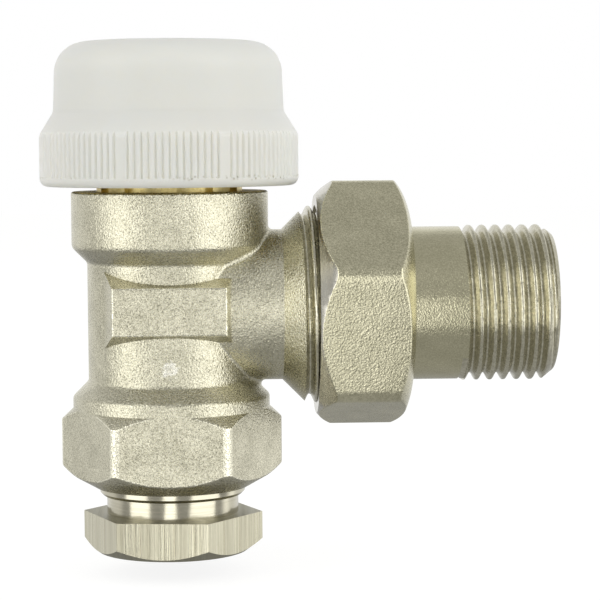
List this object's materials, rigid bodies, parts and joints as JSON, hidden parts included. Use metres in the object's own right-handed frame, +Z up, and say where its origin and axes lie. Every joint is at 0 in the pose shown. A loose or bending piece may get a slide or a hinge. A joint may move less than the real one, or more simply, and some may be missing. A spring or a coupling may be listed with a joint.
{
  "type": "angled radiator valve",
  "caption": "Angled radiator valve: ribbed white hand cap over a plated forged body, with a union nut and threaded tail to the radiator and a compression nut for the pipe.",
  "frame": {"origin": "centre of the pipe's mouth on the compression nut's lower face", "axes": "+Z up the barrel to the cap, +X out along the branch to the radiator"},
  "size_m": [0.0684, 0.0344, 0.0681],
  "materials": {
    "blasted_nickel": "sand-blasted nickel plate on forged brass",
    "turned_nickel": "bright turned nickel plate on brass",
    "white_plastic": "fine satin moulding",
    "bare_brass": "turned",
    "stainless": "ground",
    "spring_steel": "drawn wire",
    "black_rubber": "moulded"
  },
  "bodies": {
    "valve": {"valve_body": "blasted_nickel", "insert_housing": "bare_brass", "insert_o_ring": "black_rubber", "guide_bush": "bare_brass", "gland_nut": "bare_brass", "gland_o_ring": "black_rubber", "gland_washer": "stainless", "return_spring": "spring_steel"},
    "stem": {"stem": "stainless", "push_pin": "stainless", "spring_cup": "stainless", "retaining_ring": "spring_steel", "disc_holder": "bare_brass", "disc_seal": "black_rubber", "disc_nut": "bare_brass"},
    "cap": {"hand_cap": "white_plastic"},
    "tail": {"tailpiece": "turned_nickel", "tail_o_ring": "black_rubber"},
    "union": {"union_nut": "blasted_nickel"},
    "olive": {"compression_ring": "bare_brass"},
    "pipe_nut": {"compression_nut": "turned_nickel"}
  },
  "joints": [
    {"name": "stem_lift", "type": "slide", "parent": "valve", "child": "stem", "axis": [0, 0, 1], "range_m": [-0.0025, 0], "deforming": ["return_spring"]},
    {"name": "cap_turn", "type": "hinge", "parent": "stem", "child": "cap", "pos_m": [0, 0, 0.058], "axis": [0, 0, 1], "range_deg": [-600.05, 0.05]},
    {"name": "tail_draw", "type": "slide", "parent": "valve", "child": "tail", "axis": [1, 0, 0], "range_m": [-0.00159, 0.00363]},
    {"name": "union_nut_turn", "type": "hinge", "parent": "tail", "child": "union", "pos_m": [0.026, 0, 0.03295], "axis": [1, 0, 0], "range_deg": [-315.05, 720.05]},
    {"name": "olive_slide", "type": "slide", "parent": "valve", "child": "olive", "axis": [0, 0, 1], "range_m": [-0.003, 0.001]},
    {"name": "compression_nut_turn", "type": "hinge", "parent": "olive", "child": "pipe_nut", "pos_m": [0, 0, 0.003], "axis": [0, 0, 1], "range_deg": [-720.05, 240.05]}
  ],
  "couplings": [
    {"joint": "cap_turn", "follows": "stem_lift", "rad_per_m": 4188.8},
    {"joint": "union_nut_turn", "follows": "tail_draw", "rad_per_m": 3463.2},
    {"joint": "compression_nut_turn", "follows": "olive_slide", "rad_per_m": 4188.8}
  ]
}
